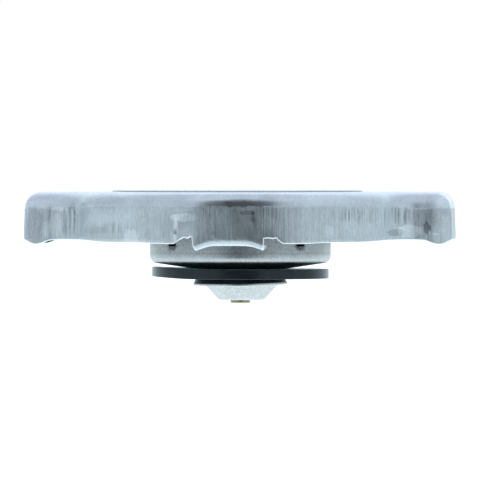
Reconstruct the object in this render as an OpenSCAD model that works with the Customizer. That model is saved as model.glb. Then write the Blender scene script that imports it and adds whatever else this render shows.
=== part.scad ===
// Radiator cap with a pressure valve and a vacuum valve, for a small bayonet filler neck.
// Millimetres. z = 0 is the plane of the neck's upper rim, with the crown above it and the
// valves below. The ears lie along X and the locking lugs along Y.

/* [Shell] */
// Thickness of the drawn steel
sheet = 0.9; // [0.7:0.05:1]
// Radius of the round body
body_r = 25.5; // [25:0.1:26.5]
// Distance from the axis to the tip of an ear
ear_reach = 31.7; // [31:0.1:33]
// Width of an ear
ear_w = 16.2; // [14:0.1:18]
// Radius of an ear's corners, seen from above
ear_r = 3; // [2.8:0.1:4.2]
// Radius of the hollow between an ear and the body
hollow_r = 4.5; // [3.5:0.1:5]
// Radius of the rounded shoulder, outside
shoulder_r = 2.2; // [1.6:0.1:2.6]
// How far the skirt stands proud of the shoulder
skirt_step = 0.25; // [0.1:0.05:0.4]
// Depth of the skirt's edge below the neck rim
skirt_drop = 4.4; // [4.1:0.1:4.8]
// Rise of the skirt's edge beside each ear
edge_rise = 0.5; // [0.2:0.05:0.7]
// Radius of that rise, seen from the side
edge_wave_r = 60; // [40:1:80]
// Distance from the axis to the middle of that rise
edge_wave_x = 22; // [20:0.1:24]
// Depth of the round dish in the crown, which takes the rivet's head
crown_dish_depth = 0.8; // [0.6:0.05:1]
// Radius of that dish
crown_dish_r = 6; // [5.5:0.1:8]

/* [Locking lugs] */
// Depth of the flat over each lug, behind the round of the body
flat_inset = 0.7; // [0.5:0.1:1.2]
// Height of that flat's upper edge above the neck rim
flat_top = 0.65; // [0.3:0.05:0.8]
// Slope of the step from the flat up to the shoulder
flat_step_angle = 49; // [40:1:60]
// Width of a lug
lug_w = 10.1; // [8:0.1:12]
// Width of the lug's level middle
lug_level_w = 6; // [3:0.1:7]
// Slope of the lug's ends
lug_end_angle = 20; // [10:1:25]
// Depth of the lug's underside below the neck rim
lug_drop = 4.75; // [4.5:0.05:5.2]
// How far the lug reaches inwards from the flat
lug_reach = 4.8; // [4:0.1:5.2]
// Outer radius of the lug's fold
lug_fold_r = 1.1; // [1:0.05:1.4]
// Width of the relief notch at each end of a lug, along its top
notch_w = 1.6; // [1.2:0.1:2]
// Depth of the notch's upper end below the neck rim
notch_top = 3.65; // [3.3:0.05:3.8]
// Slope of the notch's outer side
notch_angle = 48; // [40:1:80]
// Radius of the notch's corners
notch_r = 1; // [0.3:0.05:1.2]

/* [Label] */
// Radius of the disc stuck on the crown
label_r = 18.4; // [16:0.1:20]
// Thickness of that disc
label_t = 0.2; // [0.15:0.05:0.5]
// How far it was stuck off the axis
label_shift = 0.4; // [0:0.1:0.6]

/* [Neck seal] */
// Radius of the neck gasket
neck_gasket_r = 18.5; // [17:0.1:19]
// Thickness of the neck gasket
neck_gasket_t = 0.8; // [0.6:0.05:1.2]
// How deep the spring holder presses into the neck gasket
gasket_bite = 0.1; // [0.05:0.05:0.2]
// Radius of the spring disc over it
spring_disc_r = 19.5; // [19.2:0.1:21]
// Thickness of the spring disc
spring_disc_t = 0.45; // [0.35:0.05:0.6]

/* [Rivet] */
// Radius of the rivet's shoulder, on which the shell turns
rivet_shoulder_r = 3; // [2.8:0.1:3.5]
// Radius of the rivet's shank
rivet_r = 2.5; // [2:0.1:2.6]
// Radius of the rivet's upper head
rivet_head_r = 4.6; // [4.2:0.1:5.2]
// Radius of the rivet's closed head
rivet_closed_r = 4.2; // [3.6:0.1:4.8]
// Thickness of the rivet's closed head
rivet_closed_t = 0.6; // [0.4:0.05:0.7]

/* [Spring holder] */
// Thickness of the holder's steel
holder_sheet = 0.6; // [0.5:0.05:0.7]
// Height of the holder
holder_h = 4.2; // [4:0.05:4.3]

/* [Pressure valve] */
// Thickness of the cup's steel
cup_sheet = 0.6; // [0.5:0.05:0.65]
// Outer radius of the cup
cup_r = 13.3; // [12.5:0.1:14.5]
// Height of the cup's wall
cup_h = 5.2; // [4.8:0.05:5.6]
// Outer radius of the cup's lower corner
cup_corner_r = 1.1; // [0.9:0.05:1.4]
// How far the cup's edge stands above its hooks
cup_lip = 0.55; // [0.3:0.05:0.6]
// Length of the hooks lanced from the cup's wall
hook_l = 1.5; // [1.3:0.05:1.6]
// Width of a hook
hook_w = 1.6; // [1.2:0.1:2.4]
// How many hooks there are
hook_count = 4; // [3:1:6]
// Fall of the cup's conical floor
floor_drop = 0.85; // [0.6:0.05:1.1]
// Radius of the flat round the cup's collar
floor_flat_r = 6.55; // [6.2:0.05:7]
// Outer radius of the collar that holds the gasket
collar_r = 4.2; // [3.8:0.05:4.6]
// Width of the collar's flared end
collar_flare_w = 0.8; // [0.5:0.05:1]
// How far the pressure gasket's edge lies inside the cup's wall
gasket_inset = 0.3; // [0.1:0.05:0.6]
// Thickness of the pressure gasket
gasket_t = 1.4; // [1.3:0.01:1.7]
// How far the gasket's lip spreads from its root to its edge
lip_flare = 0.44; // [0.3:0.02:0.6]
// Height of the gasket's lip
lip_h = 0.68; // [0.6:0.01:0.9]
// Thickness of the gasket's lip
lip_t = 0.8; // [0.6:0.05:1]
// Depth of the groove round the lip's root
lip_groove_h = 0.15; // [0.1:0.05:0.3]
// Gap between the lip's edge and the flat outside that groove
lip_groove_gap = 0.15; // [0.1:0.05:0.3]
// Wire of the main spring
spring_wire = 1.1; // [0.9:0.05:1.2]
// Turns of the main spring
spring_turns = 2.5; // [2.25:0.25:2.75]

/* [Vacuum valve] */
// Thickness of the dish's steel
dish_sheet = 0.32; // [0.25:0.01:0.4]
// How far the dish's rim reaches past the gasket's lip
dish_overhang = 0.05; // [0:0.05:0.3]
// Width of the dish's flat rim
dish_rim_w = 1.85; // [1.6:0.05:1.95]
// Radius of the dish's floor at the corner
dish_floor_r = 3.15; // [2.8:0.05:3.5]
// Depth of the dish
dish_depth = 2.45; // [2:0.05:2.7]
// Radius of the corner between the dish's floor and its cone
dish_corner_r = 0.7; // [0.4:0.05:0.9]
// Radius of the stem
stem_r = 1.1; // [1:0.05:1.3]
// Radius of the stem's neck, riveted in the dish
stem_neck_r = 0.8; // [0.6:0.05:0.9]
// Radius of the stem's riveted end
stem_end_r = 1.475; // [1.3:0.025:1.6]
// Height of the stem's riveted end
stem_end_h = 0.46; // [0.4:0.02:0.7]
// Radius of the stem's head
stem_head_r = 2.4; // [2.2:0.05:2.8]
// Thickness of the stem's head
stem_head_t = 0.6; // [0.4:0.05:0.7]
// Length of the stem between its head and the dish
stem_l = 8.3; // [8:0.05:8.5]
// Wire of the vacuum valve's spring
vacuum_wire = 0.45; // [0.35:0.05:0.5]
// Turns of the vacuum valve's spring
vacuum_turns = 4; // [3:0.5:4.5]

/* [Clearances] */
// Play of the shell on its rivet, along the axis
swivel_play = 0.05; // [0.03:0.01:0.1]
// Radial clearance of holes on the rivet and the stem
hole_play = 0.05; // [0.03:0.01:0.08]
// Gap between the cup's hooks and the holder's flange
hook_play = 0.05; // [0.03:0.01:0.1]
// Radial gap between the cup's hooks and the holder's wall
hook_side_play = 0.45; // [0.3:0.05:0.6]
// Radial gap between the holder's flange and the cup's wall
flange_play = 0.4; // [0.3:0.05:0.6]
// Radial gap between the main spring and the holder's wall
spring_side_play = 0.45; // [0.3:0.05:0.9]
// Radial gap between the collar's flare and the gasket's lip
flare_play = 0.66; // [0.4:0.02:0.8]
// Gap between a spring and its seats
spring_gap = 0.04; // [0.03:0.01:0.06]
// Gap between the gasket's lip and the dish
seat_gap = 0.03; // [0.02:0.01:0.05]

/* [Hidden] */
$fn = 96;
// A cut runs this far past the face that it goes through.
past = 1;

// Heights of the crown, from the neck rim upwards
disc_top = neck_gasket_t + spring_disc_t;
crown_dish_under = disc_top + swivel_play;
crown_dish_floor = crown_dish_under + sheet;
crown_top = crown_dish_floor + crown_dish_depth;

// Plan of the shell: the corners of an ear, and the hollow that meets its side and the round body
ear_x = ear_reach - ear_r;
ear_y = ear_w / 2 - ear_r;
hollow_y = ear_w / 2 + hollow_r;
hollow_x = sqrt((body_r + hollow_r) * (body_r + hollow_r) - hollow_y * hollow_y);
// The hollow bites this far into both, so that they cross instead of only touching
hollow_bite = 0.04;

// The flat over each lug
flat_y = body_r - flat_inset;
flat_back_y = flat_y - sheet;
flat_back_top = flat_top + sheet * tan(flat_step_angle / 2);
// The fold of a lug starts at this height
fold_z = lug_fold_r - lug_drop;
// The notch's outer side, with corners no rounder than it has room for
notch_side = (skirt_drop - notch_top) / sin(notch_angle);
notch_corner_r = min(notch_r, 0.45 * notch_side / tan(notch_angle / 2));

// Radii of the pressure valve, from the cup's wall and its collar
cup_inner_r = cup_r - cup_sheet;
gasket_r = cup_r - gasket_inset;
holder_r = cup_inner_r - hook_l - hook_side_play;
holder_flange_r = cup_inner_r - flange_play;
spring_r = holder_r - holder_sheet - spring_side_play;
collar_inner_r = collar_r - cup_sheet;
collar_flare_r = collar_r + collar_flare_w;
lip_root_r = collar_flare_r + flare_play + lip_t;
lip_r = lip_root_r + lip_flare;
dish_r = lip_r + dish_overhang;

// Heights of the holder's ceiling and of its flange
holder_ceiling = gasket_bite - holder_sheet;
flange_under = gasket_bite - holder_h;
flange_top = flange_under + holder_sheet;

// Heights of the pressure valve, from the holder's flange downwards
hook_under = flange_top + hook_play;
hook_top = hook_under + cup_sheet;
cup_top = hook_top + cup_lip;
cup_bottom = cup_top - cup_h;
gasket_top = cup_bottom - floor_drop;
gasket_under = gasket_top - gasket_t;
floor_top = gasket_top + cup_sheet;
lip_under = gasket_under - lip_h;

// Heights of the vacuum valve
dish_top = lip_under - seat_gap;
dish_under = dish_top - dish_depth;
stem_foot = dish_under + dish_sheet;
stem_head_under = stem_foot + stem_l;

// Points of an arc from one angle to another
function arc(x, y, r, from, to, steps = 8) =
    [for (i = [0 : steps]) let (a = from + (to - from) * i / steps) [x + r * cos(a), y + r * sin(a)]];

// Where the cup's conical floor lies at a radius, for the face that starts at a height
function floor_at(r, start) = start - floor_drop * (cup_r - cup_corner_r - r) / (cup_r - cup_corner_r - floor_flat_r);

// Half section with the shell's shoulder and skirt, set in by the thickness of a wall
module shouldered_half(rim, inset) {
    arc_x = rim - skirt_step - shoulder_r;
    arc_z = crown_top - shoulder_r;
    bottom = -skirt_drop - lug_drop - inset;
    polygon([[0, bottom], [rim - inset, bottom], [rim - inset, arc_z - skirt_step],
             [rim - skirt_step - inset, arc_z], [arc_x, arc_z], [arc_x, crown_top - inset],
             [0, crown_top - inset]]);
    translate([arc_x, arc_z])
        intersection() {
            circle(shoulder_r - inset);
            square(shoulder_r);
        }
}

// Disc of that section
module shouldered_disc(rim, inset) {
    rotate_extrude() shouldered_half(rim, inset);
}

// Straight bar of that section, along X from the axis
module shouldered_bar(length, rim, inset) {
    rotate([90, 0, 90])
        linear_extrude(length)
            for (side = [0, 1]) mirror([side, 0, 0]) shouldered_half(rim, inset);
}

// An ear, as a block: its two sides, its end and its corners
module ear_block(inset) {
    shouldered_bar(ear_x, ear_w / 2, inset);
    translate([ear_x, -ear_y, 0]) rotate([0, 0, 90]) shouldered_bar(2 * ear_y, ear_r, inset);
    for (y = [-ear_y, ear_y]) translate([ear_x, y, 0]) shouldered_disc(ear_r, inset);
}

// What the hollow takes away beside an ear, with the same shoulder and skirt turned inside out
module hollow_cut(inset) {
    wall = hollow_r + hollow_bite + inset;
    arc_x = hollow_r + hollow_bite + skirt_step + shoulder_r;
    arc_z = crown_top - shoulder_r;
    bottom = -skirt_drop - lug_drop - inset - past;
    rotate_extrude()
        difference() {
            polygon([[0, bottom], [wall, bottom], [wall, arc_z - skirt_step], [wall + skirt_step, arc_z],
                     [arc_x, arc_z], [arc_x, crown_top + past], [0, crown_top + past]]);
            translate([arc_x, arc_z])
                intersection() {
                    circle(shoulder_r - inset);
                    translate([-shoulder_r, 0]) square(shoulder_r);
                }
        }
}

// The shell's whole form as a block, set in by the thickness of a wall
module shell_block(inset) {
    shouldered_disc(body_r, inset);
    for (side = [0, 1])
        mirror([side, 0, 0]) {
            ear_block(inset);
            difference() {
                translate([0, 0, -skirt_drop - lug_drop - inset])
                    linear_extrude(crown_top + skirt_drop + lug_drop)
                        polygon([[0, 0], [hollow_x, hollow_y], [hollow_x, -hollow_y]]);
                for (y = [-hollow_y, hollow_y])
                    translate([hollow_x, y, 0]) hollow_cut(inset);
            }
        }
}

// What lies outside the flat over a lug, for one face of its wall
module outside_flat(y, top) {
    far = body_r + past;
    step_top = top + (far - y) * tan(flat_step_angle);
    bottom = -skirt_drop - 2 * lug_drop;
    rotate([90, 0, 90])
        translate([0, 0, -body_r])
            linear_extrude(2 * body_r)
                polygon([[y, bottom], [far, bottom], [far, step_top], [y, top]]);
}

// The two lug sides of the shell
module at_lugs() {
    for (turn = [0, 180]) rotate([0, 0, turn]) children();
}

// A length of the lug's folded section, along X, with a little of the wall above it
module lug_fold(length) {
    rotate([90, 0, 90])
        linear_extrude(length) {
            translate([flat_back_y, fold_z]) square(sheet);
            translate([flat_y - lug_reach, -lug_drop]) square([lug_reach - lug_fold_r, sheet]);
            translate([flat_y - lug_fold_r, fold_z])
                intersection() {
                    difference() {
                        circle(lug_fold_r);
                        circle(lug_fold_r - sheet);
                    }
                    translate([0, -lug_fold_r]) square(lug_fold_r);
                }
        }
}

// Flat wall of a lug, from the shell down to the line of its fold
module lug_wall() {
    level = lug_level_w / 2;
    edge = lug_w / 2;
    end_z = fold_z - (edge - level) * tan(lug_end_angle);
    top = sheet - notch_top;
    translate([0, flat_y, 0])
        rotate([90, 0, 0])
            linear_extrude(sheet)
                polygon([[-edge, top], [-edge, end_z], [-level, fold_z], [level, fold_z], [edge, end_z], [edge, top]]);
}

// A lug: level in the middle, with both ends sloping down as a lead
module lug() {
    lug_wall();
    translate([-lug_level_w / 2, 0, 0]) lug_fold(lug_level_w);
    intersection() {
        for (side = [0, 1])
            mirror([side, 0, 0])
                translate([lug_level_w / 2, 0, fold_z])
                    rotate([0, lug_end_angle, 0])
                        translate([0, 0, -fold_z]) lug_fold(lug_w);
        translate([-lug_w / 2, 0, -3 * lug_drop]) cube([lug_w, body_r, 3 * lug_drop]);
    }
}

// Half of the opening in the wall for a lug and its notches, seen from the front
module notch_half() {
    corner = notch_corner_r * tan(notch_angle / 2);
    top_x = lug_w / 2 + notch_w;
    edge_x = top_x + notch_side * cos(notch_angle) + corner;
    polygon(concat([[0, -notch_top]],
                   arc(top_x - corner, -notch_top - notch_corner_r, notch_corner_r, 90, 90 - notch_angle, 5),
                   arc(edge_x, notch_corner_r - skirt_drop, notch_corner_r, 270 - notch_angle, 270, 5),
                   [[edge_x, -2 * skirt_drop], [0, -2 * skirt_drop]]));
}

// Opening in the wall for a lug and its two notches
module lug_opening() {
    translate([0, flat_back_y - past, 0])
        rotate([90, 0, 0])
            mirror([0, 0, 1])
                linear_extrude(body_r - flat_back_y + 2 * past)
                    for (side = [0, 1]) mirror([side, 0, 0]) notch_half();
}

// Everything under the skirt's edge, which rises beside each ear
module below_skirt() {
    translate([-2 * body_r, -2 * body_r, -4 * skirt_drop]) cube([4 * body_r, 4 * body_r, 3 * skirt_drop]);
    for (side = [-1, 1])
        translate([side * edge_wave_x, 0, edge_rise - skirt_drop - edge_wave_r])
            rotate([90, 0, 0]) cylinder(r = edge_wave_r, h = 4 * body_r, center = true);
}

// Drawn steel shell with ears, skirt and locking lugs
module cap_shell() {
    color("#b4c0cc")
        difference() {
            union() {
                difference() {
                    shell_block(0);
                    at_lugs() outside_flat(flat_y, flat_top);
                    difference() {
                        shell_block(sheet);
                        at_lugs() outside_flat(flat_back_y, flat_back_top);
                    }
                    below_skirt();
                    at_lugs() lug_opening();
                }
                at_lugs() lug();
                translate([0, 0, crown_dish_under]) cylinder(r = crown_dish_r + sheet, h = crown_top - crown_dish_under);
            }
            translate([0, 0, crown_dish_floor]) cylinder(r = crown_dish_r, h = crown_dish_depth + past);
            translate([0, 0, crown_dish_under - past])
                cylinder(r = rivet_shoulder_r + hole_play, h = sheet + 2 * past);
        }
}

// Bare disc stuck on the crown
module label_disc() {
    color("#dfe3e6") translate([-label_shift, 0, crown_top]) cylinder(r = label_r, h = label_t);
}

// Shouldered rivet that carries the valve under the crown
module center_rivet() {
    head_under = crown_dish_floor + swivel_play;
    closed_under = holder_ceiling - rivet_closed_t;
    color("#a9b0b6")
        rotate_extrude()
            polygon([[0, closed_under], [rivet_closed_r - rivet_closed_t / 2, closed_under],
                     [rivet_closed_r, closed_under + rivet_closed_t / 2], [rivet_closed_r, holder_ceiling],
                     [rivet_r, holder_ceiling], [rivet_r, disc_top], [rivet_shoulder_r, disc_top],
                     [rivet_shoulder_r, head_under], [rivet_head_r, head_under],
                     [rivet_head_r, crown_top - swivel_play], [0, crown_top - swivel_play]]);
}

// Flat spring steel disc that presses the neck gasket down
module spring_disc() {
    hole = rivet_r + hole_play;
    color("#c8ccd0")
        rotate_extrude()
            translate([hole, neck_gasket_t]) square([spring_disc_r - hole, spring_disc_t]);
}

// Rubber disc that seals on the neck's upper rim, squeezed thinner over the holder
module neck_gasket() {
    hole = rivet_r + hole_play;
    step_r = holder_r + hole_play;
    color("#20242a")
        rotate_extrude()
            polygon([[hole, gasket_bite], [step_r, gasket_bite], [step_r, 0], [neck_gasket_r, 0],
                     [neck_gasket_r, neck_gasket_t], [hole, neck_gasket_t]]);
}

// Fixed inverted cup that guides the valve cup and stops its fall
module spring_holder() {
    hole = rivet_r + hole_play;
    inner_r = holder_r - holder_sheet;
    color("#aab4ba")
        rotate_extrude()
            polygon([[hole, holder_ceiling], [inner_r, holder_ceiling], [inner_r, flange_under],
                     [holder_flange_r, flange_under], [holder_flange_r, flange_top], [holder_r, flange_top],
                     [holder_r, gasket_bite], [hole, gasket_bite]]);
}

// Round wire coiled from one radius and height to another
module coil(wire, turns, from_r, from_z, to_r, to_z, sides = 10, steps_per_turn = 28) {
    steps = ceil(turns * steps_per_turn);
    points = [for (i = [0 : steps]) let (f = i / steps, a = 360 * turns * f)
        for (j = [0 : sides - 1]) let (b = 360 * j / sides,
            r = from_r + (to_r - from_r) * f + wire / 2 * cos(b),
            z = from_z + (to_z - from_z) * f + wire / 2 * sin(b))
            [r * cos(a), r * sin(a), z]];
    walls = [for (i = [0 : steps - 1], j = [0 : sides - 1]) let (k = (j + 1) % sides)
        for (face = [[i * sides + j, i * sides + k, (i + 1) * sides + j],
                     [i * sides + k, (i + 1) * sides + k, (i + 1) * sides + j]]) face];
    ends = [[for (j = [sides - 1 : -1 : 0]) j], [for (j = [0 : sides - 1]) steps * sides + j]];
    polyhedron(points, concat(walls, ends));
}

// Main spring, between the holder's ceiling and the cup's floor
module pressure_spring() {
    seat = floor_at(spring_r, cup_bottom + cup_sheet);
    coil_r = spring_r - spring_wire / 2;
    color("#9aa2a8")
        coil(spring_wire, spring_turns, coil_r, seat + spring_wire / 2 + spring_gap,
             coil_r, holder_ceiling - spring_wire / 2 - spring_gap);
}

// Drawn cup that slides on the holder, with a conical floor and a flared collar
module valve_cup() {
    corner_x = cup_r - cup_corner_r;
    corner_z = cup_bottom + cup_corner_r;
    flare_under = gasket_under - cup_sheet;
    color("#a3adb2") {
        difference() {
            rotate_extrude()
                polygon(concat([[cup_inner_r, cup_top], [cup_r, cup_top]],
                               arc(corner_x, corner_z, cup_corner_r, 0, -90),
                               [[floor_flat_r, gasket_top], [collar_r, gasket_top], [collar_r, gasket_under],
                                [collar_flare_r, gasket_under], [collar_flare_r, flare_under],
                                [collar_inner_r, flare_under], [collar_inner_r, floor_top], [floor_flat_r, floor_top]],
                               arc(corner_x, corner_z, cup_corner_r - cup_sheet, -90, 0)));
            at_hooks() translate([0, -hook_w / 2, hook_under - hook_l])
                cube([cup_r, hook_w, hook_l]);
        }
        at_hooks() translate([cup_inner_r - hook_l, -hook_w / 2, hook_under])
            cube([hook_l + cup_sheet / 2, hook_w, cup_sheet]);
    }
}

// The places of the cup's hooks
module at_hooks() {
    for (i = [0 : hook_count - 1]) rotate([0, 0, (i + 0.5) * 360 / hook_count]) children();
}

// Moulded rubber washer that seals on the neck's lower seat, with a lip for the vacuum dish
module pressure_gasket() {
    bore = collar_r + hole_play;
    groove_r = lip_r + lip_groove_gap;
    groove_top = gasket_under + lip_groove_h;
    color("#1f262d")
        rotate_extrude()
            polygon([[bore, gasket_under], [bore, gasket_top], [gasket_r, gasket_top], [gasket_r, gasket_under],
                     [groove_r, gasket_under], [groove_r, groove_top], [lip_root_r, groove_top],
                     [lip_r, lip_under], [lip_r - lip_t, lip_under], [lip_root_r - lip_t, gasket_under]]);
}

// Conical spring that draws the vacuum dish up against the gasket's lip
module vacuum_spring() {
    color("#b5babd")
        coil(vacuum_wire, vacuum_turns, collar_r + vacuum_wire / 2, floor_top + vacuum_wire / 2 + spring_gap,
             stem_head_r - vacuum_wire, stem_head_under - vacuum_wire / 2 - spring_gap, 8, 24);
}

// Turned brass stem, headed above and riveted over below the dish
module vacuum_stem() {
    end_bottom = dish_under - stem_end_h;
    end_round = stem_end_h / 2;
    color("#aaa77f")
        rotate_extrude()
            polygon(concat([[0, end_bottom]],
                           arc(stem_end_r - end_round, end_bottom + end_round, end_round, -90, 0, 5),
                           [[stem_end_r, dish_under], [stem_neck_r, dish_under], [stem_neck_r, stem_foot],
                            [stem_r, stem_foot], [stem_r, stem_head_under], [stem_head_r, stem_head_under],
                            [stem_head_r, stem_head_under + stem_head_t], [0, stem_head_under + stem_head_t]]));
}

// Pressed steel dish that closes the collar from below
module vacuum_dish() {
    rim_in = dish_r - dish_rim_w;
    run = rim_in - dish_floor_r;
    drop = dish_depth - dish_sheet;
    slope = atan2(drop, run);
    // Where the corner's arc starts on the floor, so that it also meets the cone
    corner_x = dish_floor_r - dish_corner_r * tan(slope / 2);
    corner_z = dish_under + dish_corner_r;
    shift = dish_sheet / sin(slope) - dish_sheet / tan(slope);
    hole = stem_neck_r + hole_play;
    color("#cfd8de")
        rotate_extrude()
            polygon(concat([[hole, stem_foot], [hole, dish_under]],
                           arc(corner_x, corner_z, dish_corner_r, -90, slope - 90, 6),
                           [[rim_in, dish_top - dish_sheet], [dish_r, dish_top - dish_sheet], [dish_r, dish_top],
                            [rim_in - shift, dish_top]],
                           arc(corner_x, corner_z, dish_corner_r - dish_sheet, slope - 90, -90, 6)));
}

cap_shell();
label_disc();
center_rivet();
spring_disc();
neck_gasket();
spring_holder();
pressure_spring();
valve_cup();
pressure_gasket();
vacuum_spring();
vacuum_stem();
vacuum_dish();
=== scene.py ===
"""Looks of a bayonet radiator cap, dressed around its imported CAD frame."""
import math

import bmesh
import bpy
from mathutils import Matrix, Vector, noise


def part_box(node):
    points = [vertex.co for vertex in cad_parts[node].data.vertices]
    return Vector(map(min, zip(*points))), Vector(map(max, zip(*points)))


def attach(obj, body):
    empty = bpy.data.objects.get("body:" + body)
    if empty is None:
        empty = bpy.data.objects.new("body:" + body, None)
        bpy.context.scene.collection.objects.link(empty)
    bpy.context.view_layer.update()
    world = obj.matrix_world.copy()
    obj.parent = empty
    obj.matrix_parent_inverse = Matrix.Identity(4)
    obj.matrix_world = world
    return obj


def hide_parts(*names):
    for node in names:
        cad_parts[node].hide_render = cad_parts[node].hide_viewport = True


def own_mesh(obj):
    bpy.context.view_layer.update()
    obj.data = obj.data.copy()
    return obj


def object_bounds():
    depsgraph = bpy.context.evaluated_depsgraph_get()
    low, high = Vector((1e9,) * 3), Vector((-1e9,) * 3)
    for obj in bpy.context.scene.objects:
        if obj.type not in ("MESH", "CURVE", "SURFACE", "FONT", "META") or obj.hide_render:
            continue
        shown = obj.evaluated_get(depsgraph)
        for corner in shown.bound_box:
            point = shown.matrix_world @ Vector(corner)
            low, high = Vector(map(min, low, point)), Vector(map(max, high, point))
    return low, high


bl_info = {
    "name": "Radiator cap",
    "version": (1, 0, 0),
    "blender": (4, 5, 0),
    "location": "3D View > Sidebar > Radiator cap",
    "description": "Dresses the radiator cap and sets up its studio",
    "category": "Object",
}

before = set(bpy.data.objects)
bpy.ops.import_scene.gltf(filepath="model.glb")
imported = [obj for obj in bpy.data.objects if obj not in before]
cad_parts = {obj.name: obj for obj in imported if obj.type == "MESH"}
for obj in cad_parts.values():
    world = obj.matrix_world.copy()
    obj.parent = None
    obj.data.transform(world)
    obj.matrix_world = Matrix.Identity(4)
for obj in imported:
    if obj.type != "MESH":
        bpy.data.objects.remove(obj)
CAD_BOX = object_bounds()

SHELL_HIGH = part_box("cap_shell")[1]
LABEL_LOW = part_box("label_disc")[0]
GASKET_LOW, GASKET_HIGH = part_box("pressure_gasket")
DISH_LOW, DISH_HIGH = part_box("vacuum_dish")
MM = 0.001
RIGHT_ANGLE = math.pi / 2
DEGREE = math.radians(1)
# Edges that turn by more than this look sharp, or are rounded in a mould
SHARP = 40 * DEGREE
MOULDED = 35 * DEGREE

# How finely the stretches of the shell's outline and wall are divided
END_STEPS = 8
CORNER_STEPS = 12
SIDE_STEPS = 18
BODY_STEPS = 40
LUG_COLUMNS = 40
LUG_STEPS = 36
DISH_STEPS = 8
SHOULDER_STEPS = 10
EASE_STEPS = 5
WALL_STEPS = 16
FOLD_STEPS = 7
PLATE_STEPS = 4
# How finely the gasket and the vacuum dish are divided
GASKET_TURN = 128
DISH_TURN = 96
BEND_STEPS = 8
ROOT_STEPS = 6
ROUND_STEPS = 3

# Where one form of the shell fades into another
EAR_FADE = (20 * MM, 26 * MM)
FLANK_FADE = (10.5 * MM, 14 * MM)
TEAR_FALL = (1.2 * MM, 4 * MM)
TEAR_SPREAD = (0.2 * MM, 3.2 * MM)
FLAT_FADE = (-2 * MM, 1.2 * MM)
BEND_FADE = (-1 * MM, 2 * MM)
TIP_WIDTH = 1.5 * MM
EDGE_SOFT = 0.15 * MM
STEP_SOFT = 0.12 * MM
LUG_SOFT = 0.6 * MM
LUG_SAG = 0.27 * MM
TEAR_SIZE = 0.5 * MM
# Share of a lug's flare on its clean side
CLEAN_FLARE = 0.3


def length(name, description, millimetres):
    """A length property, given in millimetres."""
    return bpy.props.FloatProperty(
        name=name, description=description, default=millimetres * MM, unit="LENGTH", precision=5)


def angle(name, description, degrees):
    """An angle property, given in degrees."""
    return bpy.props.FloatProperty(
        name=name, description=description, default=math.radians(degrees), subtype="ANGLE")


def colour(name, description, default):
    """A colour property."""
    return bpy.props.FloatVectorProperty(
        name=name, description=description, default=default, size=3, subtype="COLOR",
        min=0.0, max=1.0)


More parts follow.
